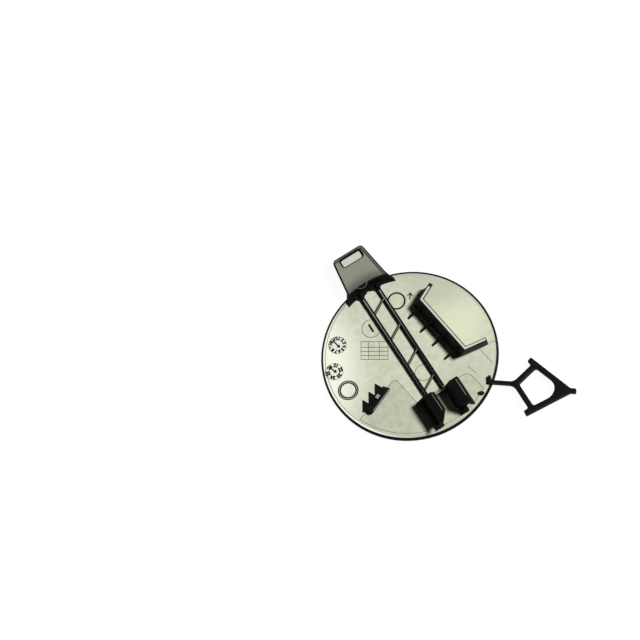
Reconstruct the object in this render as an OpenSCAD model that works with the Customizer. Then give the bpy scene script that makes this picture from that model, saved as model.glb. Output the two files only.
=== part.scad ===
// Cover for the tow eye opening in a bumper: one moulding, lying on its front face.
// Z = 0 is the flat middle of the front, +Y is up on the vehicle, and +X is right seen from behind.
// Walls, ribs and legs rise along the draw direction, which leans away from the plate's axis.
// Plan points are given where a feature meets the floor of the back.

/* [Disc] */
// Radius of the round plate
disc_r = 40; // [37:0.5:46]
// Thickness from the flat of the front to the floor of the back
disc_t = 3; // [2.4:0.1:4]
// Radius of the flat middle of the front
flat_r = 20; // [14:0.5:28]
// How far the front curves back at the rim
crown_h = 0.5; // [0.2:0.1:0.8]
// Width of the lowered ledge round the back
ledge_w = 1.7; // [1:0.1:3]
// Depth of the ledge below the floor
ledge_drop = 0.4; // [0.2:0.1:0.8]
// Radius of the rounded edges of the rim
rim_round = 0.6; // [0.2:0.1:0.6]

/* [Draw direction] */
// Lean of the walls and ribs, towards the right seen from behind
lean = 18; // [6:1:22]
// Direction of the tab round the disc, from the right-hand side
tab_dir = 135; // [130:1:140]

/* [Tab] */
// Length of the tab beyond the disc's edge
tab_l = 16.6; // [10:0.1:22]
// Width of the tab at its outer end
tab_tip_w = 15.8; // [10:0.2:18]
// Width of the tab at the disc
tab_root_w = 20.3; // [16:0.1:23]
// Thickness of the tab
tab_t = 2.5; // [1.8:0.1:3.2]
// Gap for the bumper skin, from the floor of the back to the underside of the tab
skin_gap = 2.5; // [1.5:0.1:4]
// Radius of the tab's corners
tab_round = 2; // [0.5:0.1:3]
// Distance of the neck's upper edge inside the disc's edge
neck_in = 1.7; // [0.6:0.1:3]
// Run of the neck's concave slope
neck_run = 2.4; // [1.5:0.1:5]
// How far the neck runs on under the tab
neck_join = 1.5; // [1:0.1:3]
// How far the neck's outer face falls back towards the floor
neck_foot = 0.5; // [0.3:0.1:1.5]
// How far each side of the neck spreads at the floor
neck_flare = 2; // [0.5:0.1:3]
// Length of the recess in the tab
window_l = 10.4; // [6:0.2:11]
// Width of the recess
window_w = 4; // [2:0.1:6]
// Depth of the recess
window_d = 0.9; // [0.4:0.1:1.4]
// Distance of the recess's middle from the tab's outer end
window_in = 3.4; // [3.2:0.1:5]
// How far the recess's middle lies to one side of the tab's line
window_off = 0.5; // [-1:0.1:1]

/* [Ribs] */
// Distance of each long rib from the line of the tab
rib_off = 4.2; // [3:0.1:5]
// Height of the long ribs
rib_h = 3; // [2:0.1:4]
// Width of a long rib at its top
rib_top_w = 1.1; // [0.5:0.05:1.3]
// Width of a long rib at the floor
rib_base_w = 1.7; // [1.4:0.1:2.4]
// Radius of the webs in the corners between the ribs and the neck
web_round = 2.4; // [1:0.1:3]
// Height of those webs
web_h = 1.1; // [0.5:0.1:2]
// Height of the slanted braces between the ribs
brace_h = 2.3; // [1:0.1:2.8]
// Number of braces
brace_count = 4; // [2:1:5]
// Width of a brace at its top
brace_top_w = 0.6; // [0.4:0.05:0.8]
// Width of a brace at the floor
brace_base_w = 1; // [0.8:0.1:1.4]
// How far each brace slants along the ribs
brace_slant = 5; // [2:0.5:7]
// Distance of the first brace from the foot of the neck
brace_in = 6.4; // [3:0.1:9]
// Distance of the last brace from the cross bar
brace_rest = 3.8; // [1:0.1:6]
// Distance of the cross bar from the middle of the disc
bar_at = 22.5; // [20:0.5:25]
// Width of the cross bar at its top
bar_top_w = 1.1; // [0.8:0.1:1.8]
// Width of the cross bar at the floor
bar_base_w = 1.4; // [1:0.1:2]

/* [Snap legs] */
// Half of the gap between the two legs
leg_gap = 4.5; // [4:0.1:5.5]
// Thickness of each leg's wall
leg_t = 2.4; // [1.6:0.1:3]
// Height of the legs
leg_h = 15.5; // [12:0.5:18]
// Distance of the legs' free ends inside the disc's edge
leg_in = 2.6; // [1.5:0.1:5]
// How far the tip of each leg is cut back at its inner end corner
leg_nose = 4.9; // [3:0.1:6]
// Width of the leg's end that the nose leaves
nose_end = 0.5; // [0.3:0.1:1]
// How far the ridge of each leg lies out from its inner face
ridge_in = 1.8; // [1:0.1:2.2]
// How far the chamfer falls from the ridge to the inner face
ridge_fall = 1.3; // [0.6:0.1:2]
// How far the barb stands out from the wall
barb_out = 1.9; // [1:0.1:2.4]
// Height of the barb's sloping lead-in
barb_slope = 3.1; // [2:0.1:4]
// Height of the barb's edge
barb_face = 0.8; // [0.4:0.1:1.4]
// Height of the low foot under each leg
foot_h = 2.6; // [1:0.1:4]
// How far the foot stands out from the leg's wall
foot_over = 1.3; // [0.5:0.1:1.8]
// Distance of the buttress's outer corner beyond the leg's inner face
buttress_out = 5.9; // [5.6:0.1:7]
// Height of that corner
buttress_h = 5.6; // [3:0.1:8]
// Thickness of the buttress
buttress_t = 1.1; // [0.8:0.1:1.6]

/* [Stop wall] */
// Upper corner of the stop wall, across and up
stop_at = [-3.6, 23]; // [-12:0.1:30]
// Length of its straight middle
stop_l = 32.4; // [28:0.1:34]
// Direction of its middle
stop_dir = -37.2; // [-40:0.1:-34]
// Direction of its upper arm
upper_dir = 72; // [66:0.5:78]
// Distance of the upper arm's end inside the disc's edge
upper_in = 7.6; // [6:0.1:11]
// Direction of its lower arm
lower_dir = 37; // [30:0.5:42]
// Distance of the lower arm's end inside the disc's edge
lower_in = 4.3; // [3:0.1:8]
// Thickness of the stop wall
stop_t = 1.8; // [1.2:0.1:2.4]
// Height of the stop wall
stop_h = 11; // [8:0.1:13]
// Length of the bevel at the top of the upper arm's end
upper_bevel = 2; // [0.5:0.1:3]
// How far the lower arm's end slopes back from the floor to the top
lower_slope = 3.2; // [1:0.1:5]
// Number of gussets behind it
gusset_count = 4; // [2:1:5]
// Distance of the first gusset from the upper corner
gusset_first = 2.9; // [1.5:0.1:5]
// Distance of the last gusset from the lower corner
gusset_last = 3.7; // [1.5:0.1:5]
// Reach of each gusset
gusset_l = 5.9; // [3:0.1:6.5]
// Height of each gusset where it meets the wall
gusset_h = 9.4; // [5:0.1:10]
// Thickness of each gusset
gusset_t = 0.9; // [0.6:0.1:1.4]

/* [Saw-tooth wall] */
// Middle of the small wall, across and up
small_at = [-9.3, -24.1]; // [-30:0.1:10]
// Direction of the small wall
small_dir = 67.5; // [62:0.5:72]
// Length of the small wall on its toothed side
small_l = 15; // [13.4:0.1:17]
// Length of it on its plain side
small_back_l = 12; // [9:0.1:13]
// Height of the small wall
small_h = 4.8; // [3:0.1:6]
// Width of its top
small_top_w = 0.85; // [0.5:0.05:1.2]
// Width of it at the floor
small_base_w = 3.7; // [2.8:0.1:4.6]
// How far its plain side leans in from the floor to the top
small_draft = 0.1; // [0.1:0.1:1]
// Number of saw teeth
tooth_count = 3; // [1:1:3]
// Spacing of the teeth
tooth_pitch = 4.7; // [3:0.1:4.9]
// Reach of each tooth beyond the wall
tooth_l = 3.8; // [2:0.1:5]
// Height of each tooth at the wall
tooth_h = 1.3; // [1.3:0.1:3]
// Height of each tooth at its tip
tooth_tip_h = 0.5; // [0.3:0.1:1.2]
// Distance of the first tooth from the wall's upper end
small_end = 1.4; // [0.6:0.1:2.5]
// Distance of the flat pad's middle from the first tooth's upper side
pad_in = 5; // [3:0.1:7]
// Width of the pad
pad_w = 2; // [1:0.1:2.6]
// Height of the pad
pad_h = 2.6; // [1.6:0.1:3.4]

/* [Leash] */
// Thickness of the leash
leash_t = 2.2; // [1.6:0.1:3]
// Width of its strap
strap_w = 1.6; // [1.4:0.1:2.6]
// Width of the four bars of its loop
loop_w = 2.4; // [1.6:0.1:2.8]
// Direction in which the strap's root lies from the middle of the disc
leash_dir = -8.2; // [-12:0.1:-4]
// Distance of the root inside the disc's edge
leash_in = 1.3; // [1.1:0.1:3]
// Near corner of the loop, across and up from the strap's root
loop_near = [11.8, 1.5]; // [-4:0.1:16]
// Upper corner of the loop, from the root
loop_upper = [18.5, 12.1]; // [8:0.1:24]
// Lower corner of the loop, from the root
loop_lower = [22.1, -8.9]; // [-14:0.1:28]
// Far corner of the loop, from the root
loop_far = [36.1, 3.1]; // [-2:0.1:42]
// How far the long bars run on past the upper and lower corners
stub_l = 3.8; // [1:0.1:5]
// Length of the stub at the far corner
far_stub_l = 3.2; // [1:0.1:4.5]
// Direction of that stub
far_dir = 7; // [0:1:14]
// Width of that stub
far_stub_w = 2.1; // [1.6:0.1:2.8]
// Radius of the web inside the far corner
web_r = 5.6; // [2:0.1:7]
// Radius of the fillets where the strap meets the loop
strap_fillet = 4; // [1.5:0.1:5]
// Radius of the leash's other inside corners
leash_fillet = 1.2; // [0.8:0.1:1.6]
// Radius of its outside corners
leash_round = 0.5; // [0.2:0.1:0.6]
// Length of the cross piece at the root, above the strap's line
root_l = 2.9; // [1.5:0.1:4]
// Width of the cross piece
root_w = 1.5; // [1.2:0.1:2]
// Direction of the cross piece
root_dir = 104; // [96:1:112]

/* [Hidden] */
$fn = 64;

// Depth to which a feature is rooted below the floor
root = 0.6;
// A small overlap between neighbours
lap = 0.2;
// A length longer than the part
far = 3 * disc_r;
rise = tan(lean);
across_dir = tab_dir - 90;
tab_low = disc_t + skin_gap;
tab_top = tab_low + tab_t;
neck_h = tab_top - disc_t;
neck_r = disc_r - neck_in;
foot_r = neck_r - neck_run;
tab_shift = neck_h * rise;
tab_reach = disc_r + tab_l;
leg_end = disc_r - leg_in;
wall_out = leg_gap + leg_t;
barb_edge = wall_out + barb_out;
// Height above the floor of the barb's upper edge
barb_z = leg_h - barb_slope;

// Where a coordinate measured at the floor along a direction lies at a height above it
function raised(at, up, dir) = at + up * rise * cos(dir);
// A point given along and across the line of the tab
function latch(u, v) = [u * cos(tab_dir) + v * cos(across_dir), u * sin(tab_dir) + v * sin(across_dir)];
function polar(r, a) = [r * cos(a), r * sin(a)];
function unit(a) = polar(1, a);
// How far a point must go in a direction to be at a distance from the middle of the disc
function way_out(p, d, r) = sqrt(pow(p * d, 2) - p * p + r * r) - p * d;
function arc(centre, r, from, to, steps) =
    [for (i = [0:steps]) centre + polar(r, from + (to - from) * i / steps)];

// A prism along a plan direction, whose section is given across that direction and up
module along(dir, from, to) {
    rotate([0, 0, dir])
        translate([from, 0, disc_t])
            rotate([90, 0, 90])
                linear_extrude(to - from)
                    children();
}

// A plan outline drawn up from the floor along the draw direction, with a level top
module drawn(height) {
    intersection() {
        translate([0, 0, disc_t])
            rotate([0, lean, 0])
                translate([0, 0, -disc_r])
                    linear_extrude(2 * disc_r)
                        children();
        translate([-far / 2, -far / 2, disc_t - root])
            cube([far, far, root + height]);
    }
}

// A plan point as it lies in the square section of a drawn outline
function section(p) = [p[0] * cos(lean), p[1]];

// A tapered rib from one plan point to another
module rib(a, b, height, top_w, base_w) {
    dir = atan2(b[1] - a[1], b[0] - a[0]);
    translate([a[0], a[1], 0])
        along(dir, 0, norm(b - a))
            polygon([
                [-base_w / 2, -root],
                [base_w / 2, -root],
                [raised(top_w / 2, height, dir + 90), height],
                [raised(-top_w / 2, height, dir + 90), height]
            ]);
}

// Plate: flat in the middle of the front, crowned towards a rounded rim, with a ledge round the back
module plate() {
    crown_r = disc_r - rim_round;
    ledge_z = disc_t - ledge_drop;
    crown = [for (i = [0:8]) let (s = i / 8) [flat_r + s * (crown_r - flat_r), crown_h * s * s]];
    rotate_extrude($fn = 180)
        polygon(concat(
            [[0, 0]],
            crown,
            arc([crown_r, crown_h + rim_round], rim_round, -75, 0, 5),
            arc([crown_r, ledge_z - rim_round], rim_round, 0, 90, 5),
            [[disc_r - ledge_w, ledge_z], [disc_r - ledge_w - ledge_drop, disc_t], [0, disc_t]]
        ));
}

// Outline of the tab seen from above, with round corners at its outer end
module tab_outline() {
    tip = tab_tip_w / 2 - tab_round;
    side = tab_root_w / 2;
    hull() {
        for (s = [-1, 1])
            translate([tab_reach - tab_round, s * tip])
                circle(tab_round, $fn = 40);
        translate([foot_r, -side])
            square([neck_run, 2 * side]);
    }
}

// Neck: a concave slope round the disc's middle, whose two ends spread towards the floor
module neck() {
    half = tab_root_w / 2;
    // The curves start a little under the floor, so that they cross it cleanly
    sink = neck_h / 100;
    slope = [for (i = [0:8]) let (a = 90 * i / 8)
        [foot_r + neck_run * sin(a), (neck_h + sink) * (1 - cos(a)) - sink]];
    side = [for (i = [0:5]) let (z = i * (neck_h + 2 * root) / 5 - root)
        [half + neck_flare * pow(1 - z / neck_h, 2), z]];
    outer = neck_r + neck_join;
    intersection() {
        translate([0, 0, disc_t])
            rotate_extrude($fn = 180)
                polygon(concat(
                    [[foot_r, -root]],
                    slope,
                    [[outer, neck_h], [outer, skin_gap + tab_t / 8], [neck_r - neck_foot, -root]]
                ));
        translate([tab_shift, 0, 0])
            along(tab_dir, 0, far)
                polygon(concat(
                    [for (p = side) [-p[0], p[1]]],
                    [for (i = [5:-1:0]) side[i]]
                ));
    }
}

// Tab on its neck: it lies behind the bumper skin, with a recess in its outer end
module tab() {
    round = window_w / 4;
    difference() {
        union() {
            difference() {
                translate([tab_shift, 0, tab_low])
                    rotate([0, 0, tab_dir])
                        linear_extrude(tab_t)
                            tab_outline();
                cylinder(h = 2 * tab_top, r = neck_r + neck_join / 2, $fn = 180);
            }
            neck();
        }
        translate([tab_shift, 0, tab_top - window_d])
            rotate([0, 0, tab_dir])
                translate([tab_reach - window_in, -window_off, 0])
                    linear_extrude(2 * window_d)
                        offset(r = round, $fn = 32)
                            square([window_w - 2 * round, window_l - 2 * round], center = true);
    }
}

// Web that fills the corner between a rib and the neck, on one side of the rib
module corner_web(v, side) {
    u = sqrt(foot_r * foot_r - v * v);
    near = v + side * rib_base_w / 2;
    inward = rib_base_w / 4;
    under = u + 3 * neck_run / 4;
    curve = arc([u - web_round, near + side * web_round], web_round, -90 * side, 0, 6);
    drawn(web_h)
        polygon([for (p = concat(
            [[under, near + side * web_round], [under, near - side * inward], [u - web_round, near - side * inward]],
            curve
        )) section(latch(p[0], p[1]))]);
}

// Long ribs, slanted braces and cross bar between the neck and the legs
module ladder() {
    first = foot_r - brace_in;
    pitch = (first - brace_slant - brace_rest + bar_at) / (brace_count - 1);
    for (s = [-1, 1]) {
        rib(latch(-bar_at - 2 * lap, s * rib_off), latch(foot_r + root, s * rib_off), rib_h, rib_top_w, rib_base_w);
        for (side = [-1, 1])
            corner_web(s * rib_off, side);
    }
    for (i = [0:brace_count - 1]) {
        u = first - i * pitch;
        rib(latch(u, rib_off), latch(u - brace_slant, -rib_off), brace_h, brace_top_w, brace_base_w);
    }
    rib(latch(-bar_at, -leg_gap - lap), latch(-bar_at, leg_gap + lap), rib_h, bar_top_w, bar_base_w);
}

// A section across the line of the tab, moved over with height as the draw direction leans
function leaning(points, side) =
    [for (p = points) [raised(-side * p[0], p[1], tab_dir + 90), p[1]]];

// A rectangle in the plan, along the line of the tab and across it, on one side
module plan_box(from, to, inner, outer, side) {
    polygon([for (p = [[from, inner], [to, inner], [to, outer], [from, outer]])
        section(latch(p[0], side * p[1]))]);
}

// One snap leg: a wall with an outward barb, whose inner chamfer runs round a slanted nose
module leg(side) {
    start = latch(leg_nose - leg_end, side * leg_gap);
    nose = latch(-leg_end, side * (barb_edge - nose_end)) - start;
    nose_dir = atan2(nose[1], nose[0]);
    flank = [
        [0, -root],
        [0, leg_h - ridge_fall],
        [2 * ridge_in, leg_h + ridge_fall],
        [far, leg_h + ridge_fall],
        [far, -root]
    ];
    intersection() {
        along(tab_dir, -far, far)
            polygon(leaning([
                [leg_gap, -root],
                [leg_gap, leg_h - ridge_fall],
                [leg_gap + ridge_in, leg_h],
                [barb_edge, barb_z],
                [barb_edge, barb_z - barb_face],
                [wall_out, barb_z - barb_face - barb_out],
                [wall_out, -root]
            ], side));
        drawn(leg_h + root)
            plan_box(-bar_at, -leg_end, leg_gap - root, barb_edge + root, side);
        translate([start[0], start[1], 0])
            along(nose_dir, -far, far)
                polygon([for (p = flank) [raised(side * p[0], p[1], nose_dir + 90), p[1]]]);
    }
}

// Foot under a leg, and the buttress at its upper end
module leg_base(side) {
    drawn(foot_h)
        plan_box(lap - bar_at, -leg_end, leg_gap + 2 * lap, wall_out + foot_over, side);
    intersection() {
        drawn(leg_h)
            plan_box(buttress_t - lap - bar_at, -lap - bar_at, 0, leg_gap + 2 * buttress_out, side);
        along(tab_dir, -far, far)
            polygon(leaning([
                [leg_gap + lap, -root],
                [leg_gap + lap, barb_z - barb_face],
                [barb_edge, barb_z - barb_face],
                [leg_gap + buttress_out, buttress_h],
                [leg_gap + buttress_out, -root]
            ], side));
    }
}

// Flat bar in the plan from one point to another
module bar(a, b, w) {
    translate(a)
        rotate(atan2(b[1] - a[1], b[0] - a[0]))
            translate([0, -w / 2])
                square([norm(b - a), w]);
}

// Triangular gusset that stands on the floor between a wall point and a tip, and leans with the wall
module gusset(foot, tip, height, thick) {
    a = section(foot);
    b = section(tip);
    slack = root * 2;
    reach = norm(b - a);
    // Heights of the floor under the two points, in the leaning plane that the gusset is drawn in
    foot_z = foot[0] * sin(lean);
    tip_z = tip[0] * sin(lean);
    crest = foot_z + height / cos(lean);
    // The sloping edge runs on under the floor by this share of its length
    past = root / height;
    translate([0, 0, disc_t])
        rotate([0, lean, 0])
            translate([a[0], a[1], 0])
                rotate([0, 0, atan2(b[1] - a[1], b[0] - a[0])])
                    translate([0, thick / 2, 0])
                        rotate([90, 0, 0])
                            linear_extrude(thick)
                                polygon([
                                    [-slack, foot_z - slack],
                                    [reach * (1 + past), tip_z - past * (crest - tip_z)],
                                    [0, crest],
                                    [-slack, crest]
                                ]);
}

// Space beyond the end of an arm of the stop wall, which slopes back over a drop from its top
module beyond(end, dir, drop, back) {
    reach = end * unit(dir);
    low = stop_h - drop;
    high_at = raised(reach - back, stop_h, dir);
    low_at = raised(reach, low, dir);
    slope = (high_at - low_at) / drop;
    along(dir - 90, -far, far)
        polygon([
            [high_at + slope * root, stop_h + root],
            [low_at + far, stop_h + root],
            [low_at + far, low - root],
            [low_at - slope * root, low - root]
        ]);
}

// Stop wall: a straight middle with an arm at each end, and gussets behind it
module stop_wall() {
    lower_at = stop_at + stop_l * unit(stop_dir);
    upper_end = stop_at + way_out(stop_at, unit(upper_dir), disc_r - upper_in) * unit(upper_dir);
    lower_end = lower_at + way_out(lower_at, unit(lower_dir), disc_r - lower_in) * unit(lower_dir);
    middle_t = stop_t * unit(stop_dir + 90);
    upper_t = stop_t * unit(upper_dir - 90);
    lower_t = stop_t * unit(lower_dir + 90);
    difference() {
        drawn(stop_h)
            union() {
                polygon([for (p = [stop_at, lower_at, lower_at + middle_t, stop_at + middle_t]) section(p)]);
                polygon([for (p = [stop_at, upper_end, upper_end + upper_t, stop_at + upper_t]) section(p)]);
                polygon([for (p = [lower_at, lower_end, lower_end + lower_t, lower_at + lower_t]) section(p)]);
            }
        beyond(upper_end, upper_dir, upper_bevel, upper_bevel);
        beyond(lower_end, lower_dir, stop_h, lower_slope);
    }
    pitch = (stop_l - gusset_first - gusset_last) / (gusset_count - 1);
    for (i = [0:gusset_count - 1]) {
        foot = stop_at + (gusset_first + i * pitch) * unit(stop_dir);
        gusset(foot, foot + gusset_l * unit(stop_dir - 90), gusset_h, gusset_t);
    }
}

// Small wedge-shaped wall with saw teeth behind it, and a flat pad between the first two
module saw_wall() {
    d = unit(small_dir);
    n = unit(small_dir + 90);
    half = small_l / 2;
    face = small_base_w / 2;
    top = small_draft + small_top_w - face;
    // The sides run on under the floor by this share of their height
    past = root / small_h;
    first = half - small_end;
    tip = face + tooth_l;
    intersection() {
        translate([small_at[0], small_at[1], 0])
            along(small_dir, -small_l, small_l)
                polygon([for (p = [
                    [-face - past * small_draft, -root],
                    [face + past * (face - top), -root],
                    [top, small_h],
                    [small_draft - face, small_h]
                ]) [raised(p[0], p[1], small_dir + 90), p[1]]]);
        drawn(small_h + root)
            polygon([for (p = [
                [-half, face + root],
                [-small_back_l / 2, -face - root],
                [small_back_l / 2, -face - root],
                [half, face + root]
            ]) section(small_at + p[0] * d + p[1] * n)]);
    }
    intersection() {
        for (i = [0:tooth_count - 1]) {
            foot = small_at + (first - i * tooth_pitch) * d;
            drawn(tooth_h)
                polygon([for (p = [foot, foot + tip * n, foot + face * n - tooth_pitch * d]) section(p)]);
        }
        translate([small_at[0], small_at[1], 0])
            along(small_dir, -small_l, small_l)
                polygon([for (p = [
                    [0, -root],
                    [0, tooth_h],
                    [face, tooth_h],
                    [tip, tooth_tip_h],
                    [tip, -root]
                ]) [raised(p[0], p[1], small_dir + 90), p[1]]]);
    }
    pad_at = small_at + (first - pad_in) * d + (face - pad_w / 2) * n;
    drawn(pad_h)
        polygon([for (a = [45:90:315]) section(pad_at + pad_w / sqrt(2) * unit(small_dir + a))]);
}

// Fills the inside corners of a flat outline with fillets of a radius
module filleted(r) {
    offset(r = -r, $fn = 48)
        offset(delta = r)
            children();
}

// Leash: strap, loop with its webbed far corner, and the stubs where its bars run on
module leash() {
    at = polar(disc_r - leash_in, leash_dir);
    near_at = at + loop_near;
    upper_at = at + loop_upper;
    lower_at = at + loop_lower;
    far_at = at + loop_far;
    upper_end = upper_at + stub_l * (upper_at - far_at) / norm(upper_at - far_at);
    lower_end = lower_at + stub_l * (lower_at - far_at) / norm(lower_at - far_at);
    translate([0, 0, disc_t - ledge_drop - lap])
        linear_extrude(leash_t)
            offset(r = leash_round, $fn = 32)
                offset(r = -leash_fillet - leash_round, $fn = 32)
                    offset(delta = leash_fillet) {
                        filleted(web_r) {
                            bar(far_at, upper_end, loop_w);
                            bar(far_at, lower_end, loop_w);
                        }
                        for (corner = [upper_at, lower_at])
                            filleted(strap_fillet) {
                                bar(near_at, corner, loop_w);
                                bar(at, near_at, strap_w);
                            }
                        bar(far_at, far_at + far_stub_l * unit(far_dir), far_stub_w);
                        bar(at - strap_w / 2 * unit(root_dir), at + root_l * unit(root_dir), root_w);
                    }
}

module cover() {
    color([0.09, 0.09, 0.09])
        union() {
            plate();
            tab();
            ladder();
            for (side = [-1, 1]) {
                leg(side);
                leg_base(side);
            }
            stop_wall();
            saw_wall();
            leash();
        }
}

cover();
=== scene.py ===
"""Looks of the tow hook cover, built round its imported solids.

The scene is in metres, in the frame of the solids. Places and sizes below are in mm, and go
through MM.
"""

import math

import bmesh
import bpy
from mathutils import Matrix, Vector


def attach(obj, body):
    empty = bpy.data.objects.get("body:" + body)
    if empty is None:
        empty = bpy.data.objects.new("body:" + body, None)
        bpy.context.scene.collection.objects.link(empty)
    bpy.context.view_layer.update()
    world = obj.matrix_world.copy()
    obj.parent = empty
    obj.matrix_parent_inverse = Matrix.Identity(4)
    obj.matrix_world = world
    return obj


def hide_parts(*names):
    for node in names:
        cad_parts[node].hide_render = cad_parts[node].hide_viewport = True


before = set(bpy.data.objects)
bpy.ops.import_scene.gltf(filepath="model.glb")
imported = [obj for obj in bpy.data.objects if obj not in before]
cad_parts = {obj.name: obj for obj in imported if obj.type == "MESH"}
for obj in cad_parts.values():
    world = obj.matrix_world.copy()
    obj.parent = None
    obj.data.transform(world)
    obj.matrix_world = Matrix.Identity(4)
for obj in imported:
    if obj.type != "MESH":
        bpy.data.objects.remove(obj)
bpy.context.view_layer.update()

MM = 0.001
TAB_DIR = math.radians(135)  # direction of the tab in the plan
NECK_U = 34  # where the tab's top begins, along that direction
WINDOW_U = 44  # where the recess in the tab's top begins
DISC_R = 41  # a radius just past the disc's edge
STEP_R = 38.6  # a radius between the step down to the ledge and the rim
WALL_R = 35  # the small wall lies inside this radius

# Heights of the solids' level tops
FLOOR = 3.0  # the floor of the back
LEDGE_TOP = FLOOR - 0.4
TAB_TOP = 8.0
WINDOW_FLOOR = TAB_TOP - 0.9
STOP_TOP = 14.0
RIB_TOP = 6.0
BRACE_TOP = 5.3
SMALL_TOP = 7.8
PAD_TOP = 5.6
LEASH_TOP = 4.6
LEG_TOP = 18.5

# How far the level middle of a crowned top stands above the solid's
TAB_LIFT = 0.25
WINDOW_LIFT = -0.05
STOP_LIFT = 0.3
BRACE_LIFT = 0.06
SMALL_LIFT = 0.08
LEASH_LIFT = 0.2

# Ribs, cross bar and small wall
BAR_U = -22.5  # the cross bar, along the line of the tab
BAR_EDGE = BAR_U + 0.75  # where the tops of the ribs meet the bar's
BAR_FOOT = BAR_U - 0.9  # the bar's side towards the legs, at the floor
RIB_SHOWN = 33.0  # where the tops of the ribs run into the neck
RIB_EDGES = [-4.06, 4.34]  # left-hand edge of each long rib's top, across the line of the tab
RIB_CHAMFER = 0.36
RIBS_V = 6  # the ribs and the cross bar lie within this distance of the tab's line
BRACES_V = 4.5  # and the braces within this one
LEG_EDGE = 0.2
SMALL_AT = Vector((-9.3, -24.1))  # middle of the small wall
PAD_REACH = 9  # its flat pad lies within this distance of that middle

# Limits: how near points are that become one, and how far faces may lean
JOIN = 0.002
MARK_JOIN = 0.0005
CUT_JOIN = 0.0001
FLAT_ANGLE = math.radians(0.4)  # faces that lean less against each other become one
SMOOTH_ANGLE = math.radians(32)  # and are shaded as one below this angle
CORNER_ANGLE = math.radians(35)  # edges below this angle are not bevelled
LEVEL = 0.995  # least upward part of the normal of a level face


def along_tab(u, v):
    """Plan point in mm, given along the line of the tab and across it."""
    return (
        u * math.cos(TAB_DIR) + v * math.sin(TAB_DIR),
        u * math.sin(TAB_DIR) - v * math.cos(TAB_DIR),
    )


def tab_line(x, y):
    """How far a plan point in mm lies along the line of the tab, and across it."""
    return (
        x * math.cos(TAB_DIR) + y * math.sin(TAB_DIR),
        x * math.sin(TAB_DIR) - y * math.cos(TAB_DIR),
    )


def way(angle):
    """Unit direction in the plan at an angle in degrees."""
    return Vector((math.cos(math.radians(angle)), math.sin(math.radians(angle))))


# The tab's top: the widths of its border and of the fine line behind it, and its outer end, its
# right-hand side and its left-hand side, each as a point along and across the line of the tab and
# the angle of the way out
TAB_BORDER = 0.9
TAB_LINE = 0.4
TAB_SIDES = [((54.95, 0), 135), ((54.95, 8.55), 52.7), ((54.95, -6.25), 217.3)]

# Heights of the marks, and how far each reaches into the face under it
MARK_H = 0.1
FAINT_H = 0.06
FLAT_H = 0.03
MARK_ROOT = 0.05

# Dials, each with its middle, its ring of numbers, their size, and the tail and tip of its arrow
MONTH_DIAL = (-33.0, -1.8)
MONTHS = (3.05, [str(month) for month in range(1, 13)], 2.0, (-35.3, -0.3), (-31.9, -2.6))
YEAR_DIAL = (-31.4, -14.3)
YEARS = (2.8, ["21", "22", "23", "24", "25", "26"], 2.15, (-33.1, -13.3), (-30.5, -14.4))
CAVITY = (-19.9, 8.9)  # middle of the ring with the cavity number
CAVITY_SIZE = 5.6
CAVITY_TURN = 44
BOLD, BOLD_MOST = 0.08, 0.19  # how much a number is thickened: a part of its size, and at most
BARB, BARB_TURN = 1.1, 35  # length and angle of the barbs of a dial's arrow
DIAL_FACES = [(MONTH_DIAL, 3.9), (YEAR_DIAL, 3.8)]

# Other marks: rings as middle, radius and width
STRONG_RINGS = [
    ((-11.9, 23.9), 3.8, 0.75),
    ((-23.2, -21.7), 4.4, 0.5),
    ((-23.2, -21.7), 3.6, 0.65),
]
RIM_RING = ((0, 0), 39.2, 0.4)  # the dark outer edge of the ledge
RIM_STEPS = 180
FAINT_RINGS = [
    (CAVITY, 4.2, 0.32),
    ((8.0, -6.8), 3.8, 0.28),
    (MONTH_DIAL, 4.0, 0.2),
    (YEAR_DIAL, 3.9, 0.2),
]
EJECTOR_RING = ((-29.1, 27.7), 3.1, 0.2)  # mark of an ejector pin on the tab
ARROW = [(-6.2, 26.0), (-6.6, 28.8)]  # tail and tip of the small arrow
ARROW_BARBS = [(-7.6, 27.5), (-5.3, 27.5)]
LABEL_GRID = [(-21, -6.3), (-9.1, -3.9), (-11.1, 4.4), (-23, 1.9)]  # corners, from the lower left
GRID_ROWS = (0, 0.22, 0.45, 0.68, 1)
GRID_COLUMNS = (0, 0.28, 0.68, 1)
INSERT_LINES = [
    ((33.5, 12.7), (37.2, 14.7)),
    ((30.3, 9.0), (37.4, 3.9)),
    ((27.0, 0.2), (31.8, -2.4)),
]
FINE = 0.22  # width of a fine line
LEG_RIDGES = [-2.74, 9.86]  # ridge of each leg, across the line of the tab
RIDGE_FROM, RIDGE_TO = -35.6, -26.8
RIDGE_BASE = LEG_TOP - 0.03
# A dark nub painted in as the shadow beside the root of the leash: its place, half sizes and turn
SHADOW_NUB_AT = (35.6, -11.2)
SHADOW_NUB_SIZE = (1.7, 1.1, 0.25)  # half sizes of the dark nub of painted shadow
SHADOW_NUB_TURN = 20

# The mould insert round the legs: its edges, its peaks and its radius
INSERT_EDGES = [
    ((-15.5, -35.2), (-3.8, -11.9)),
    ((-3.8, -11.9), (7.6, -20.4)),
    ((23.9, -6.2), (27.6, -2.4)),
    ((27.6, -2.4), (34.6, -7.2)),
]
INSERT_CORNERS = [(-3.8, -11.9), (27.6, -2.4)]
INSERT_R = 37.3
INSERT_STEPS = 160
INSERT_NEAR = 0.4  # how near a corner of the outline lies to its peak
INSERT_ROUND = 2.2
INSERT_LINE = 0.28


# Camera


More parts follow.
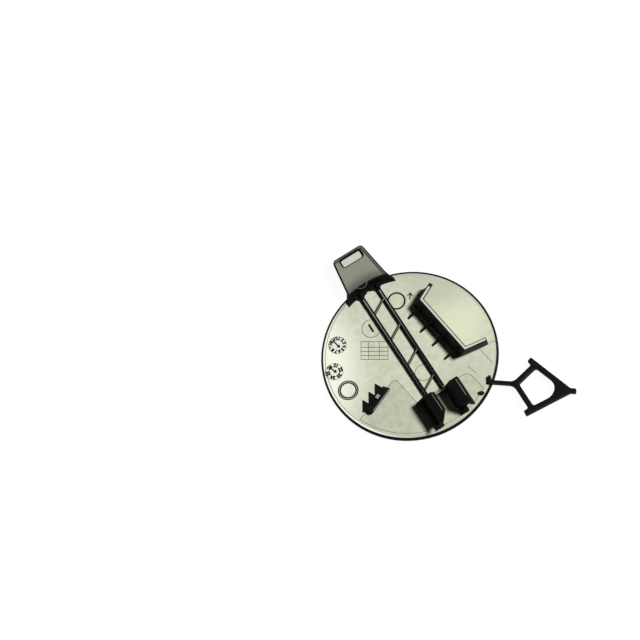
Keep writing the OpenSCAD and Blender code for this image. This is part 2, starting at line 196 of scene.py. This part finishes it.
def photo_camera():
    """A long lens at the photograph's viewing angle, aimed past the object as in the photograph."""
    image_px = 640
    px_per_mm = 2.2325
    lens_mm = 1000
    sensor_mm = 36
    disc_px = Vector((409.65, 355.2))  # where the middle of the back's floor lies in the image
    right = Vector((0.966, 0.235, -0.111)).normalized()
    up = Vector((-0.187, 0.924, 0.334))
    up = (up - up.dot(right) * right).normalized()
    back = right.cross(up)
    distance = lens_mm / sensor_mm * image_px / px_per_mm * MM
    aside = (disc_px - Vector((image_px / 2, image_px / 2))) / px_per_mm * MM
    data = bpy.data.cameras.new("camera")
    data.lens = lens_mm
    data.sensor_width = sensor_mm
    camera = bpy.data.objects.new("camera", data)
    camera.matrix_world = Matrix((right, up, back)).transposed().to_4x4()
    camera.location = Vector((0, 0, FLOOR * MM)) - right * aside.x + up * aside.y + back * distance
    bpy.context.scene.collection.objects.link(camera)
    bpy.context.scene.camera = camera


# Materials


def shader_group(name, inputs, outputs):
    """An empty node group with its sockets."""
    group = bpy.data.node_groups.new(name, "ShaderNodeTree")
    for label, kind, value in inputs:
        socket = group.interface.new_socket(label, in_out="INPUT", socket_type=kind)
        socket.default_value = value
    for label, kind in outputs:
        group.interface.new_socket(label, in_out="OUTPUT", socket_type=kind)
    return group


def moulded_skin():
    """Cloudy tone, gloss and fine grain of a moulded face, from Object coordinates."""
    group = shader_group(
        "moulded_skin",
        [
            ("Tone", "NodeSocketColor", (0.5, 0.5, 0.5, 1)),
            ("Second Tone", "NodeSocketColor", (0.4, 0.4, 0.4, 1)),
            ("Cloud Scale", "NodeSocketFloat", 90),
            ("Gloss", "NodeSocketFloat", 0.3),
            ("Gloss Change", "NodeSocketFloat", 0.05),
            ("Grain Scale", "NodeSocketFloat", 2500),
        ],
        [
            ("Tone", "NodeSocketColor"),
            ("Roughness", "NodeSocketFloat"),
            ("Height", "NodeSocketFloat"),
        ],
    )
    nodes, links = group.nodes, group.links
    given = nodes.new("NodeGroupInput")
    result = nodes.new("NodeGroupOutput")
    place = nodes.new("ShaderNodeTexCoord")
    clouds = nodes.new("ShaderNodeTexNoise")
    clouds.inputs["Detail"].default_value = 3
    grain = nodes.new("ShaderNodeTexNoise")
    grain.inputs["Detail"].default_value = 2
    blend = nodes.new("ShaderNodeMix")
    blend.data_type = "RGBA"
    spread = nodes.new("ShaderNodeMapRange")
    spread.inputs["From Min"].default_value = 0.3
    spread.inputs["From Max"].default_value = 0.7
    gloss = nodes.new("ShaderNodeMath")
    gloss.operation = "MULTIPLY_ADD"
    links.new(place.outputs["Object"], clouds.inputs["Vector"])
    links.new(place.outputs["Object"], grain.inputs["Vector"])
    links.new(given.outputs["Cloud Scale"], clouds.inputs["Scale"])
    links.new(given.outputs["Grain Scale"], grain.inputs["Scale"])
    links.new(clouds.outputs["Fac"], spread.inputs["Value"])
    links.new(spread.outputs["Result"], blend.inputs["Factor"])
    links.new(given.outputs["Tone"], blend.inputs["A"])
    links.new(given.outputs["Second Tone"], blend.inputs["B"])
    links.new(spread.outputs["Result"], gloss.inputs[0])
    links.new(given.outputs["Gloss Change"], gloss.inputs[1])
    links.new(given.outputs["Gloss"], gloss.inputs[2])
    links.new(blend.outputs["Result"], result.inputs["Tone"])
    links.new(gloss.outputs["Value"], result.inputs["Roughness"])
    links.new(grain.outputs["Fac"], result.inputs["Height"])
    return group


def soft_spot():
    """A round mask from Object coordinates, 1 in its middle and 0 at its reach, both in metres."""
    group = shader_group(
        "soft_spot",
        [
            ("Middle", "NodeSocketVector", (0, 0, 0)),
            ("Core", "NodeSocketFloat", 0.005),
            ("Reach", "NodeSocketFloat", 0.01),
        ],
        [("Mask", "NodeSocketFloat")],
    )
    nodes, links = group.nodes, group.links
    given = nodes.new("NodeGroupInput")
    result = nodes.new("NodeGroupOutput")
    place = nodes.new("ShaderNodeTexCoord")
    plan = nodes.new("ShaderNodeVectorMath")
    plan.operation = "MULTIPLY"
    plan.inputs[1].default_value = (1, 1, 0)
    away = nodes.new("ShaderNodeVectorMath")
    away.operation = "DISTANCE"
    fade = nodes.new("ShaderNodeMapRange")
    fade.interpolation_type = "SMOOTHSTEP"
    fade.inputs["To Min"].default_value = 1
    fade.inputs["To Max"].default_value = 0
    links.new(place.outputs["Object"], plan.inputs[0])
    links.new(plan.outputs["Vector"], away.inputs[0])
    links.new(given.outputs["Middle"], away.inputs[1])
    links.new(away.outputs["Value"], fade.inputs["Value"])
    links.new(given.outputs["Core"], fade.inputs["From Min"])
    links.new(given.outputs["Reach"], fade.inputs["From Max"])
    links.new(fade.outputs["Result"], result.inputs["Mask"])
    return group


def moulded(name, tone, second, specular, grain_depth, spots=(), **skin):
    """A moulded plastic material: two tones in clouds, a fine grain of a given depth in mm, and
    spots of another tone, each given as its middle, core and reach in mm, its tone and its
    strength. On the pale faces of the back, tones and spots are a painted reflection, brighter and
    dimmer by place."""
    material = bpy.data.materials.new(name)
    material.use_nodes = True
    nodes, links = material.node_tree.nodes, material.node_tree.links
    shader = nodes["Principled BSDF"]
    shader.inputs["Specular IOR Level"].default_value = specular
    group = nodes.new("ShaderNodeGroup")
    group.node_tree = SKIN
    group.inputs["Tone"].default_value = (*tone, 1)
    group.inputs["Second Tone"].default_value = (*second, 1)
    for label, value in skin.items():
        group.inputs[label.replace("_", " ").title()].default_value = value
    bump = nodes.new("ShaderNodeBump")
    bump.inputs["Distance"].default_value = grain_depth * MM
    colour = group.outputs["Tone"]
    for middle, core, reach, spot_tone, strength in spots:
        spot = nodes.new("ShaderNodeGroup")
        spot.node_tree = SPOT
        spot.inputs["Middle"].default_value = (middle[0] * MM, middle[1] * MM, 0)
        spot.inputs["Core"].default_value = core * MM
        spot.inputs["Reach"].default_value = reach * MM
        part = nodes.new("ShaderNodeMath")
        part.operation = "MULTIPLY"
        part.inputs[1].default_value = strength
        blend = nodes.new("ShaderNodeMix")
        blend.data_type = "RGBA"
        blend.inputs["B"].default_value = (*spot_tone, 1)
        links.new(spot.outputs["Mask"], part.inputs[0])
        links.new(part.outputs["Value"], blend.inputs["Factor"])
        links.new(colour, blend.inputs["A"])
        colour = blend.outputs["Result"]
    links.new(colour, shader.inputs["Base Color"])
    links.new(group.outputs["Roughness"], shader.inputs["Roughness"])
    links.new(group.outputs["Height"], bump.inputs["Height"])
    links.new(bump.outputs["Normal"], shader.inputs["Normal"])
    return material


SKIN = moulded_skin()
SPOT = soft_spot()
# Tones of the painted reflection on the back's level faces
PALEST_SHEEN = (0.92, 0.94, 0.79)
DIM_SHEEN = (0.49, 0.515, 0.405)
BRIGHT_SHEEN = (0.72, 0.745, 0.54)
# The painted reflection on the floor is palest at the left, at the lower left and in the pocket of
# the stop wall, and dimmer in two spots towards the top and the right
FLOOR_SHEEN_SPOTS = [
    ((-60, -22), 28, 50, PALEST_SHEEN, 0.97),
    ((17, 19), 5, 19, BRIGHT_SHEEN, 0.75),
    ((2, 42), 6, 26, DIM_SHEEN, 0.8),
    ((30, -10), 4, 22, DIM_SHEEN, 0.7),
]
# Where the painted reflection on the insert and the ledge is palest
INSERT_SHEEN_SPOTS = [((-50, -38), 20, 44, PALEST_SHEEN, 0.5)]
LEDGE_SHEEN_SPOTS = [((-46, -38), 34, 60, PALEST_SHEEN, 1)]
# Painted shade: the tab's painted sheen darkens towards its neck
TAB_SHEEN_SPOTS = [((-14, 14), 18, 25, (0.02, 0.02, 0.018), 0.85)]  # the tab darkens towards its neck
BLACK = moulded(
    "wall_black", (0.004, 0.004, 0.004), (0.006, 0.006, 0.006), 0.04, 0.004, gloss=0.5
)
# Painted reflection: the floor's pale tones stand in for the sheen of the black plastic
PAINTED_FLOOR_SHEEN = moulded(
    "floor_painted_sheen", (0.64, 0.66, 0.515), (0.53, 0.555, 0.425), 0.05, 0.003, FLOOR_SHEEN_SPOTS,
    gloss=0.3, gloss_change=0.06, cloud_scale=420,
)
# Painted reflection on the insert round the legs, a little dimmer than the floor's
ZONE = moulded(
    "insert_painted_sheen", (0.54, 0.565, 0.43), (0.45, 0.47, 0.355), 0.05, 0.003, INSERT_SHEEN_SPOTS,
    gloss=0.3, gloss_change=0.06, cloud_scale=420,
)
# Painted reflection on the ledge round the rim
LEDGE = moulded(
    "ledge_painted_sheen", (0.54, 0.56, 0.45), (0.48, 0.50, 0.40), 0.05, 0.002, LEDGE_SHEEN_SPOTS, gloss=0.3
)
# Painted reflection: the pale tops of the walls and the darker low tops stand in for the plastic's
# sheen
TOPS = moulded("wall_top_painted_sheen", (0.62, 0.61, 0.54), (0.54, 0.53, 0.47), 0.2, 0.002, gloss=0.3)
BAR = moulded("low_top_painted_sheen", (0.30, 0.305, 0.255), (0.25, 0.255, 0.215), 0.2, 0.002, gloss=0.3)
# Painted reflection: the tab's grey tone stands in for the sheen of the black plastic
TAB = moulded(
    "tab_painted_sheen", (0.245, 0.25, 0.195), (0.21, 0.215, 0.17), 0.3, 0.006, TAB_SHEEN_SPOTS,
    gloss=0.5, grain_scale=4000,
)
# Painted reflection: the tab's border takes a dimmer painted sheen
BORDER = moulded(
    "tab_border", (0.12, 0.123, 0.10), (0.10, 0.102, 0.083), 0.3, 0.006,
    gloss=0.5, grain_scale=4000,
)
FRONT = moulded(
    "front_grain", (0.04, 0.04, 0.042), (0.05, 0.05, 0.05), 0.4, 0.05, gloss=0.5, grain_scale=1400
)
COLOURS_AND_PAINTED_SHEENS = [BLACK, PAINTED_FLOOR_SHEEN, LEDGE, TOPS, BAR, TAB, BORDER, FRONT]
MARK = moulded("mark_dark", (0.006, 0.006, 0.005), (0.012, 0.012, 0.01), 0.04, 0.002, gloss=0.5)
FAINT = moulded("mark_faint", (0.12, 0.125, 0.09), (0.19, 0.20, 0.145), 0.04, 0.002, gloss=0.5)
# Painted reflection: the pale faces inside the dials
DIAL = moulded("dial_face", (0.84, 0.86, 0.74), (0.76, 0.78, 0.66), 0.15, 0.002, gloss=0.3)


# The moulding


def near(value, wanted, reach):
    """Whether a value is within a reach of the one wanted."""
    return abs(value - wanted) < reach


def face_finish(face):
    """Which colour or painted sheen a face of the moulding has, by where it lies and how it is
    turned.
    """
    middle = face.calc_center_median() / MM
    up = face.normal.z
    u, v = tab_line(middle.x, middle.y)
    radius = math.hypot(middle.x, middle.y)
    if up < -0.5 and middle.z < 2.0 and radius < DISC_R:
        return FRONT
    if LEDGE_TOP + 0.05 < middle.z < FLOOR - 0.05 and up > 0.3 and radius < STEP_R:
        return LEDGE
    if near(middle.z, RIB_TOP, 0.05) and up > LEVEL and u < BAR_EDGE and abs(v) < RIBS_V:
        return BAR
    # Painted highlight: the ribs' chamfers up to the neck take the pale tone of the wall tops
    if RIB_TOP - 0.3 < middle.z < RIB_TOP - 0.05 and 0.5 < up < 0.9 and abs(v) < RIBS_V:
        return TOPS if BAR_EDGE < u < RIB_SHOWN else BLACK
    if up < LEVEL:
        return BLACK
    # Painted reflection: level faces from here take the pale and grey painted sheens, or stay black
    if u > NECK_U and near(middle.z, TAB_TOP + TAB_LIFT, 0.1):
        return TAB
    if u > WINDOW_U and near(middle.z, WINDOW_FLOOR + WINDOW_LIFT, 0.1):
        return TOPS
    if radius > DISC_R:
        return BLACK
    if middle.z < LEDGE_TOP + 0.1:
        return LEDGE
    if middle.z < FLOOR + 0.1:
        return PAINTED_FLOOR_SHEEN
    if near(middle.z, STOP_TOP + STOP_LIFT, 0.1):
        return TOPS
    if near(middle.z, BRACE_TOP + BRACE_LIFT, 0.05) and abs(v) < BRACES_V and u > BAR_U:
        return BAR
    if near(middle.z, SMALL_TOP + SMALL_LIFT, 0.05) and radius < WALL_R:
        return BAR
    if near(middle.z, PAD_TOP, 0.1) and (middle.xy - SMALL_AT).length < PAD_REACH:
        return BAR
    return BLACK


def moulding():
    """The whole moulding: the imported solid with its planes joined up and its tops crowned."""
    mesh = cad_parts["cover"].data.copy()
    mesh.name = "moulding"
    mesh.materials.clear()
    for surface in COLOURS_AND_PAINTED_SHEENS:
        mesh.materials.append(surface)
    form = bmesh.new()
    form.from_mesh(mesh)
    bmesh.ops.remove_doubles(form, verts=form.verts, dist=JOIN * MM)
    bmesh.ops.dissolve_limit(form, angle_limit=FLAT_ANGLE, verts=form.verts, edges=form.edges)
    work_edges(form)
    crown_tops(form)
    form.normal_update()
    for face in form.faces:
        face.material_index = COLOURS_AND_PAINTED_SHEENS.index(face_finish(face))
        face.smooth = True
    tab_border(form)
    for edge in form.edges:
        if len(edge.link_faces) != 2:
            edge.smooth = False
            continue
        one, other = edge.link_faces
        same = one.material_index == other.material_index
        edge.smooth = same and edge.calc_face_angle(0) < SMOOTH_ANGLE
    bmesh.ops.triangulate(form, faces=form.faces)
    form.to_mesh(mesh)
    form.free()
    piece = bpy.data.objects.new("moulding", mesh)
    bpy.context.scene.collection.objects.link(piece)
    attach(piece, "root")
    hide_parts("cover")


def worked_edge(edge):
    """Size in mm of the bevel of an edge of the moulding, or None where it stays as it is."""
    if len(edge.link_faces) != 2 or not edge.is_convex:
        return None
    if edge.calc_face_angle(0) < CORNER_ANGLE:
        return None
    middle = (edge.verts[0].co + edge.verts[1].co) / 2 / MM
    u, v = tab_line(middle.x, middle.y)
    if middle.z > STOP_TOP + 0.5 or (middle.z > TAB_TOP + 0.5 and u < BAR_U):
        return LEG_EDGE
    if near(middle.z, RIB_TOP, 0.01) and u > BAR_EDGE and edge.calc_length() > 1 * MM:
        if any(near(v, side, 0.15) for side in RIB_EDGES):
            return RIB_CHAMFER
    return None


def work_edges(form):
    """Takes a fine chamfer off the left-hand edge of each long rib, and doubles the legs' edges.

    The clamp holds the bevel of the legs to no width, so it changes their shading and not their
    shape.
    """
    for size, steps in ((RIB_CHAMFER, 1), (LEG_EDGE, 3)):
        bmesh.ops.bevel(
            form,
            geom=[edge for edge in form.edges if worked_edge(edge) == size],
            offset=size * MM,
            offset_type="OFFSET",
            segments=steps,
            profile=0.5,
            affect="EDGES",
            clamp_overlap=size == LEG_EDGE,
            material=-1,
        )


def level_faces(form, height, inside):
    """The level faces of the moulding at a height whose middle passes a test of u, v and radius."""
    chosen = []
    for face in form.faces:
        middle = face.calc_center_median() / MM
        if face.normal.z > LEVEL and near(middle.z, height, 0.05):
            if inside(*tab_line(middle.x, middle.y), math.hypot(middle.x, middle.y)):
                chosen.append(face)
    return chosen


def rib_faces(form):
    """The tops and chamfers of the ribs and the cross bar."""
    chosen = []
    for face in form.faces:
        middle = face.calc_center_median() / MM
        if face.normal.z > 0.3 and RIB_TOP - 0.3 < middle.z < RIB_TOP + 0.05:
            if abs(tab_line(middle.x, middle.y)[1]) < RIBS_V + 1:
                chosen.append(face)
    return chosen


def cut(form, faces, at, across):
    """Cuts some faces along an upright plane, given by a plan point and the way across it."""
    parts = {item for face in faces for item in (face, *face.edges, *face.verts)}
    bmesh.ops.bisect_plane(
        form,
        geom=list(parts),
        plane_co=(at[0] * MM, at[1] * MM, 0),
        plane_no=(*across, 0),
        dist=CUT_JOIN * MM,
    )


def crown_tops(form):
    """Gives each narrow top a sloped border round a level middle, set a little higher or lower."""
    form.normal_update()
    for place in (RIB_SHOWN, BAR_EDGE):
        cut(form, rib_faces(form), along_tab(place, 0), way(math.degrees(TAB_DIR)))
    # Each top: its height, the width of its border, how far its middle stands up, and where it lies
    tops = [
        (TAB_TOP, 0.5, TAB_LIFT, lambda u, v, radius: u > NECK_U),
        (WINDOW_FLOOR, 0.35, WINDOW_LIFT, lambda u, v, radius: u > WINDOW_U),
        (STOP_TOP, 0.42, STOP_LIFT, lambda u, v, radius: u < NECK_U),
        (BRACE_TOP, 0.16, BRACE_LIFT, lambda u, v, radius: abs(v) < BRACES_V and u > BAR_U),
        (SMALL_TOP, 0.25, SMALL_LIFT, lambda u, v, radius: radius < WALL_R),
        (LEASH_TOP, 0.45, LEASH_LIFT, lambda u, v, radius: radius > DISC_R),
    ]
    for height, border, lift, inside in tops:
        chosen = level_faces(form, height, inside)
        if chosen:
            bmesh.ops.inset_region(
                form,
                faces=chosen,
                thickness=border * MM,
                depth=lift * MM,
                use_boundary=True,
                use_even_offset=True,
            )


def tab_border(form):
    """Sets a border of dimmer painted sheen off along the sides of the tab's top, behind a fine
    black line.
    """
    sides = [(Vector(along_tab(*at)), way(angle)) for at, angle in TAB_SIDES]

    def plateau():
        return [face for face in form.faces if face.material_index == COLOURS_AND_PAINTED_SHEENS.index(TAB)]

    for inner in (TAB_BORDER, TAB_BORDER + TAB_LINE):
        for at, across in sides[:2]:
            cut(form, plateau(), at - across * inner, across)
    at, across = sides[2]
    cut(form, plateau(), at - across * TAB_LINE, across)
    for face in plateau():
        middle = (face.calc_center_median() / MM).xy
        end, right, left = ((at - middle).dot(across) for at, across in sides)
        if min(end, right) < TAB_BORDER:
            face.material_index = COLOURS_AND_PAINTED_SHEENS.index(BORDER)
        elif min(end, right) < TAB_BORDER + TAB_LINE or left < TAB_LINE:
            face.material_index = COLOURS_AND_PAINTED_SHEENS.index(BLACK)


# Low marks on the floor of the back


def new_piece(form, name, *surfaces):
    """Makes an object from a finished shape, with the given materials, hung on the root body."""
    mesh = bpy.data.meshes.new(name)
    for surface in surfaces:
        mesh.materials.append(surface)
    bmesh.ops.recalc_face_normals(form, faces=form.faces)
    bmesh.ops.triangulate(form, faces=form.faces)
    form.to_mesh(mesh)
    form.free()
    piece = bpy.data.objects.new(name, mesh)
    bpy.context.scene.collection.objects.link(piece)
    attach(piece, "root")


def ring(form, at, radius, width, height=MARK_H, base=FLOOR, steps=48):
    """A low round ridge on the floor, or on another level in mm."""
    outline = bmesh.ops.create_grid(form, x_segments=1, y_segments=1, size=0.5)["verts"]
    inside = list({face for vert in outline for face in vert.link_faces})
    bmesh.ops.delete(form, geom=inside, context="FACES_ONLY")
    place = (
        Matrix.Translation(Vector((at[0] + radius, at[1], base + height / 2 - MARK_ROOT / 2)) * MM)
        @ Matrix.Rotation(math.pi / 2, 4, "X")
        @ Matrix.Diagonal((width * MM, (height + MARK_ROOT) * MM, 1, 1))
    )
    bmesh.ops.transform(form, matrix=place, verts=outline)
    edges = list({edge for vert in outline for edge in vert.link_edges})
    bmesh.ops.spin(
        form,
        geom=outline + edges,
        cent=(at[0] * MM, at[1] * MM, 0),
        axis=(0, 0, 1),
        angle=2 * math.pi,
        steps=steps,
        use_merge=True,
        use_duplicate=False,
    )


def line(form, start, end, width, height=MARK_H, base=FLOOR):
    """A low straight ridge on the floor, or on another level in mm."""
    run = Vector(end) - Vector(start)
    middle = (Vector(start) + Vector(end)) / 2
    verts = bmesh.ops.create_cube(form, size=1)["verts"]
    place = (
        Matrix.Translation(Vector((*middle, base + height / 2 - MARK_ROOT / 2)) * MM)
        @ Matrix.Rotation(math.atan2(run.y, run.x), 4, "Z")
        @ Matrix.Diagonal(((run.length + width / 2) * MM, width * MM, (height + MARK_ROOT) * MM, 1))
    )
    bmesh.ops.transform(form, matrix=place, verts=verts)


def disc(form, at, radius, height):
    """A low round plate on the floor."""
    verts = bmesh.ops.create_cone(
        form,
        cap_ends=True,
        segments=48,
        radius1=radius * MM,
        radius2=radius * MM,
        depth=(height + MARK_ROOT) * MM,
    )["verts"]
    middle = Vector((*at, FLOOR + height / 2 - MARK_ROOT / 2)) * MM
    bmesh.ops.translate(form, verts=verts, vec=middle)


def numeral(form, figure, at, size, turn):
    """A raised plain number on the floor, turned by an angle in degrees."""
    curve = bpy.data.curves.new("numeral", "FONT")
    curve.body = figure
    curve.size = size
    curve.extrude = (MARK_H + MARK_ROOT) / 2
    curve.offset = min(BOLD_MOST, size * BOLD)
    curve.resolution_u = 3
    curve.align_x = "CENTER"
    curve.align_y = "CENTER"
    holder = bpy.data.objects.new("numeral", curve)
    bpy.context.scene.collection.objects.link(holder)
    graph = bpy.context.evaluated_depsgraph_get()
    shape = bpy.data.meshes.new_from_object(holder.evaluated_get(graph))
    place = Matrix.Translation(Vector((*at, FLOOR + MARK_H / 2 - MARK_ROOT / 2)) * MM)
    shape.transform(place @ Matrix.Rotation(math.radians(turn), 4, "Z") @ Matrix.Scale(MM, 4))
    form.from_mesh(shape)
    bpy.data.objects.remove(holder)
    bpy.data.curves.remove(curve)
    bpy.data.meshes.remove(shape)


def date_dial(form, at, radius, figures, size, tail, tip):
    """A date dial: plain numbers round an arrow that points at one of them."""
    for number, figure in enumerate(figures):
        angle = 360 * number / len(figures)
        spot = way(90 - angle) * radius
        numeral(form, figure, (at[0] + spot.x, at[1] + spot.y), size, -angle)
    line(form, tail, tip, width=0.6)
    back = Vector(tail) - Vector(tip)
    for turn in (BARB_TURN, -BARB_TURN):
        barb = (Matrix.Rotation(math.radians(turn), 2) @ back).normalized() * BARB
        line(form, tip, Vector(tip) + barb, width=0.5)


def strong_marks():
    """Rings, dials and the cavity number, which stand out dark."""
    form = bmesh.new()
    for at, radius, width in STRONG_RINGS:
        ring(form, at, radius, width)
    ring(form, *RIM_RING, height=FLAT_H, base=LEDGE_TOP, steps=RIM_STEPS)
    date_dial(form, MONTH_DIAL, *MONTHS)
    date_dial(form, YEAR_DIAL, *YEARS)
    numeral(form, "1", CAVITY, CAVITY_SIZE, CAVITY_TURN)
    line(form, *ARROW, width=0.5)
    for barb in ARROW_BARBS:
        line(form, ARROW[1], barb, width=0.45)
    bmesh.ops.remove_doubles(form, verts=form.verts, dist=MARK_JOIN * MM)
    new_piece(form, "dials_and_rings", MARK)


def leg_ridges():
    """Painted highlight: a fine pale strip along the ridge of each leg."""
    form = bmesh.new()
    for v in LEG_RIDGES:
        start, end = along_tab(RIDGE_FROM, v), along_tab(RIDGE_TO, v)
        line(form, start, end, width=0.2, height=0.02, base=RIDGE_BASE)
    new_piece(form, "leg_ridges", BAR)


def gate_mark():
    """Painted shadow: a low dark nub beside the root of the leash, standing in for its shade."""
    form = bmesh.new()
    verts = bmesh.ops.create_icosphere(form, subdivisions=3, radius=1)["verts"]
    place = (
        Matrix.Translation(Vector((*SHADOW_NUB_AT, FLOOR - MARK_ROOT)) * MM)
        @ Matrix.Rotation(math.radians(SHADOW_NUB_TURN), 4, "Z")
        @ Matrix.Diagonal((*(size * MM for size in SHADOW_NUB_SIZE), 1))
    )
    bmesh.ops.transform(form, matrix=place, verts=verts)
    new_piece(form, "gate_mark", MARK)


def faint_marks():
    """The label grid, faint rings and the lines of the mould's inserts."""
    form = bmesh.new()
    for at, radius, width in FAINT_RINGS:
        ring(form, at, radius, width, height=FAINT_H)
    low_left, low_right, up_right, up_left = (Vector(point) for point in LABEL_GRID)
    for part in GRID_ROWS:
        start, end = low_left.lerp(up_left, part), low_right.lerp(up_right, part)
        line(form, start, end, width=0.3, height=FAINT_H)
    for part in GRID_COLUMNS:
        start, end = low_left.lerp(low_right, part), up_left.lerp(up_right, part)
        line(form, start, end, width=FINE, height=FAINT_H)
    ring(form, *EJECTOR_RING, height=FLAT_H, base=TAB_TOP + TAB_LIFT)
    for start, end in INSERT_LINES:
        line(form, start, end, width=FINE, height=FAINT_H)
    bmesh.ops.remove_doubles(form, verts=form.verts, dist=MARK_JOIN * MM)
    new_piece(form, "faint_marks", FAINT)


def dial_faces():
    """The pale faces inside the dials, a painted reflection."""
    form = bmesh.new()
    for at, radius in DIAL_FACES:
        disc(form, at, radius, FLAT_H)
    new_piece(form, "dial_faces", DIAL)


def in_insert(x, y):
    """Whether a plan point in mm lies on the mould insert round the legs."""

    def left_of(start, end):
        return (end[0] - start[0]) * (y - start[1]) - (end[1] - start[1]) * (x - start[0]) > 0

    u, v = tab_line(x, y)
    low = not left_of(*INSERT_EDGES[0]) and not left_of(*INSERT_EDGES[1])
    high = not left_of(*INSERT_EDGES[2]) and not left_of(*INSERT_EDGES[3])
    between = u < BAR_FOOT and left_of(*INSERT_EDGES[1]) and left_of(*INSERT_EDGES[2])
    return low or high or between


def insert_zone():
    """The plane that the mould's insert leaves round the legs, a hair above the floor, outlined."""
    form = bmesh.new()
    bmesh.ops.create_circle(form, cap_ends=True, segments=INSERT_STEPS, radius=INSERT_R * MM)
    bmesh.ops.translate(form, verts=form.verts, vec=(0, 0, (FLOOR - MARK_ROOT) * MM))
    bar = [along_tab(BAR_FOOT, v) for v in (-10, 10)]
    for start, end in (*INSERT_EDGES, bar):
        run = Vector(end) - Vector(start)
        bmesh.ops.bisect_plane(
            form,
            geom=[*form.verts, *form.edges, *form.faces],
            plane_co=(start[0] * MM, start[1] * MM, 0),
            plane_no=(-run.y, run.x, 0),
            dist=CUT_JOIN * MM,
        )
    outside = [face for face in form.faces if not in_insert(*(face.calc_center_median() / MM).xy)]
    bmesh.ops.delete(form, geom=outside, context="FACES")
    bmesh.ops.dissolve_faces(form, faces=form.faces)
    corners = [
        vert for vert in form.verts
        if any((vert.co.xy / MM - Vector(point)).length < INSERT_NEAR for point in INSERT_CORNERS)
    ]
    bmesh.ops.bevel(
        form,
        geom=corners,
        offset=INSERT_ROUND * MM,
        offset_type="OFFSET",
        segments=8,
        profile=0.5,
        affect="VERTICES",
        clamp_overlap=True,
        material=-1,
    )
    raised = bmesh.ops.extrude_face_region(form, geom=list(form.faces))["geom"]
    lifted = [item for item in raised if isinstance(item, bmesh.types.BMVert)]
    bmesh.ops.translate(form, verts=lifted, vec=(0, 0, (FLAT_H + MARK_ROOT) * MM))
    top = [item for item in raised if isinstance(item, bmesh.types.BMFace)]
    rim = bmesh.ops.inset_region(
        form, faces=top, thickness=INSERT_LINE * MM, use_boundary=True, use_even_offset=True
    )
    for face in rim["faces"]:
        face.material_index = 1
    # The insert's pale tone is a painted reflection, a little dimmer than the floor's
    new_piece(form, "insert_zone", ZONE, FAINT)


# Floor and light

STUDIO_SIZE = 3
STUDIO_TONE = 0.06
STUDIO_WHITE = 0.96  # how bright the floor looks to the camera
FILL = 0.012  # strength of the sky as a light
LAMP_WAY = (0.587, 0.194, 1.0)
LAMP_DISTANCE = 1.5
LAMP_SIZE = 0.22
LAMP_ENERGY = 27


def clear_rays(nodes, links):
    """1 for rays that see the plain white background: those of the camera, gloss and glass."""
    rays = nodes.new("ShaderNodeLightPath")
    total = rays.outputs["Is Camera Ray"]
    for kind in ("Is Glossy Ray", "Is Transmission Ray"):
        most = nodes.new("ShaderNodeMath")
        most.operation = "MAXIMUM"
        links.new(total, most.inputs[0])
        links.new(rays.outputs[kind], most.inputs[1])
        total = most.outputs["Value"]
    return total


def studio():
    """A plain white floor that keeps a soft shadow, an even sky and one soft lamp."""
    floor_mesh = bpy.data.meshes.new("studio_floor")
    form = bmesh.new()
    bmesh.ops.create_grid(form, x_segments=1, y_segments=1, size=STUDIO_SIZE)
    form.to_mesh(floor_mesh)
    form.free()
    floor = bpy.data.objects.new("studio_floor", floor_mesh)
    bpy.context.scene.collection.objects.link(floor)
    paint = bpy.data.materials.new("studio_floor")
    paint.use_nodes = True
    nodes, links = paint.node_tree.nodes, paint.node_tree.links
    shader = nodes["Principled BSDF"]
    shader.inputs["Base Color"].default_value = (STUDIO_TONE, STUDIO_TONE, STUDIO_TONE, 1)
    shader.inputs["Roughness"].default_value = 1
    shader.inputs["Specular IOR Level"].default_value = 0
    shader.inputs["Emission Color"].default_value = (1, 1, 1, 1)
    strength = nodes.new("ShaderNodeMath")
    strength.operation = "MULTIPLY"
    strength.inputs[1].default_value = STUDIO_WHITE
    links.new(clear_rays(nodes, links), strength.inputs[0])
    links.new(strength.outputs["Value"], shader.inputs["Emission Strength"])
    floor_mesh.materials.append(paint)

    world = bpy.data.worlds.new("studio_sky")
    bpy.context.scene.world = world
    world.use_nodes = True
    nodes, links = world.node_tree.nodes, world.node_tree.links
    nodes["Background"].inputs["Color"].default_value = (1, 1, 1, 1)
    fill = nodes.new("ShaderNodeMapRange")
    fill.inputs["To Min"].default_value = FILL
    fill.inputs["To Max"].default_value = 1.0
    links.new(clear_rays(nodes, links), fill.inputs["Value"])
    links.new(fill.outputs["Result"], nodes["Background"].inputs["Strength"])

    # The lamp stands to the right, where the long shadows on the back say it stood
    away = Vector(LAMP_WAY).normalized() * LAMP_DISTANCE
    lamp_data = bpy.data.lights.new("soft_lamp", "AREA")
    lamp_data.shape = "DISK"
    lamp_data.size = LAMP_SIZE
    lamp_data.energy = LAMP_ENERGY
    lamp = bpy.data.objects.new("soft_lamp", lamp_data)
    lamp.location = away
    lamp.rotation_euler = away.to_track_quat("Z", "Y").to_euler()
    bpy.context.scene.collection.objects.link(lamp)


photo_camera()
moulding()
insert_zone()
dial_faces()
faint_marks()
strong_marks()
leg_ridges()
gate_mark()
studio()
bpy.context.scene.view_settings.view_transform = "Standard"
